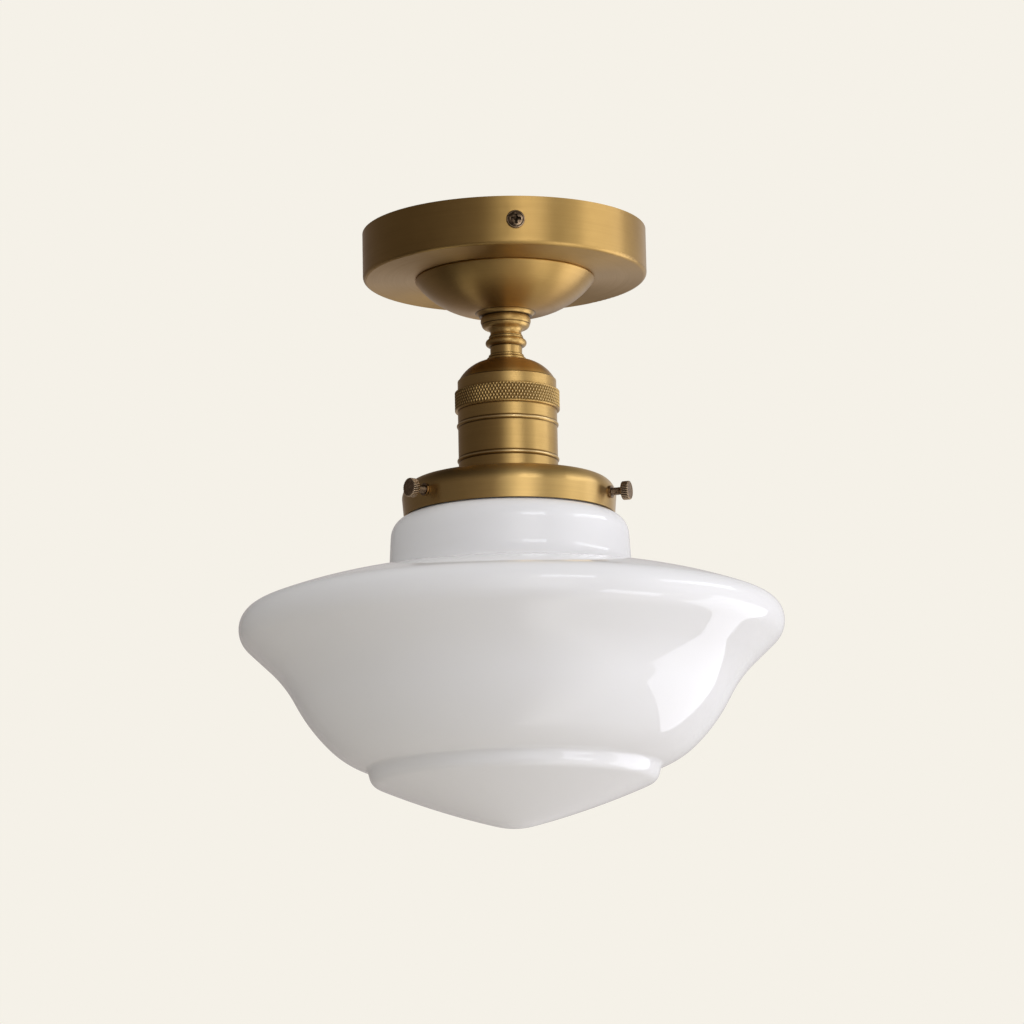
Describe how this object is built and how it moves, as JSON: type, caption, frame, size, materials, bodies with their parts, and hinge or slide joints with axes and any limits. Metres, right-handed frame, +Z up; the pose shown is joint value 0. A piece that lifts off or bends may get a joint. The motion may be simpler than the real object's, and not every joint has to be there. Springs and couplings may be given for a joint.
{
  "type": "semi flush ceiling light",
  "caption": "Brushed brass semi flush ceiling light: round canopy with a spun dome, turned neck, lampholder and gallery carrying a schoolhouse shade of opal glass.",
  "frame": {"origin": "centre of the ceiling face of the mounting bracket, on the light's axis", "axes": "+Z up along the light's axis into the ceiling, everything hangs below the origin; -Y is the front"},
  "size_m": [0.246, 0.246, 0.2745],
  "materials": {
    "brushed_brass": "satin, fine turned lines",
    "aged_bronze": "satin, darkened",
    "opal_glass": "gloss, milk white through its thickness",
    "zinc_steel": "bright zinc plate",
    "ground_green": "green plated",
    "contact_brass": "bright sheet",
    "porcelain": "glazed",
    "bush_plastic": "matt",
    "liner_fibre": "matt fibre",
    "wire_black": "satin insulation",
    "wire_white": "satin insulation",
    "wire_green": "satin insulation",
    "connector_plastic": "moulded"
  },
  "bodies": {
    "fixture": {"mounting_bracket": "zinc_steel", "ground_screw": "ground_green", "canopy_screws": "aged_bronze", "canopy": "brushed_brass", "dome": "brushed_brass", "nipple": "zinc_steel", "lock_washer": "zinc_steel", "nipple_nut": "zinc_steel", "check_ring": "brushed_brass", "neck_upper": "brushed_brass", "neck_lower": "brushed_brass", "seat_ring": "brushed_brass", "socket_cap": "brushed_brass", "cap_bushing": "zinc_steel", "wire_bushing": "bush_plastic", "knurled_ring": "brushed_brass", "socket_shell": "brushed_brass", "socket_body": "porcelain", "screw_contact": "contact_brass", "contact_rivet": "contact_brass", "live_terminal": "contact_brass", "neutral_terminal": "contact_brass", "terminal_screws": "contact_brass", "insulating_liner": "liner_fibre", "gallery": "brushed_brass", "shade_ring": "brushed_brass", "screw_inserts": "aged_bronze", "wire_connectors": "connector_plastic", "live_lead": "wire_black", "neutral_lead": "wire_white", "ground_lead": "wire_green"},
    "shade_body": {"shade": "opal_glass"},
    "screw_left": {"thumbscrew_left": "aged_bronze"},
    "screw_right": {"thumbscrew_right": "aged_bronze"},
    "screw_rear": {"thumbscrew_rear": "aged_bronze"},
    "contact_leaf": {"centre_contact": "contact_brass"}
  },
  "joints": [
    {"name": "shade_drop", "type": "slide", "parent": "fixture", "child": "shade_body", "axis": [0, 0, -1], "range_m": [0, 0.014]},
    {"name": "screw_left_out", "type": "slide", "parent": "fixture", "child": "screw_left", "axis": [-0.8192, -0.5736, 0], "range_m": [0, 0.0046]},
    {"name": "screw_right_out", "type": "slide", "parent": "fixture", "child": "screw_right", "axis": [0.9063, -0.4226, 0], "range_m": [0, 0.0046]},
    {"name": "screw_rear_out", "type": "slide", "parent": "fixture", "child": "screw_rear", "axis": [-0.0872, 0.9962, 0], "range_m": [0, 0.0046]},
    {"name": "contact_lift", "type": "hinge", "parent": "fixture", "child": "contact_leaf", "pos_m": [-0.006, 0, -0.0967], "axis": [0, -1, 0], "range_deg": [0, 10], "stiffness_Nm_per_rad": 0.2, "springref_deg": -2.86}
  ],
  "couplings": [
    {"joint": "screw_left_out", "follows": "shade_drop", "ratio": 0.32},
    {"joint": "screw_right_out", "follows": "shade_drop", "ratio": 0.32},
    {"joint": "screw_rear_out", "follows": "shade_drop", "ratio": 0.32}
  ]
}
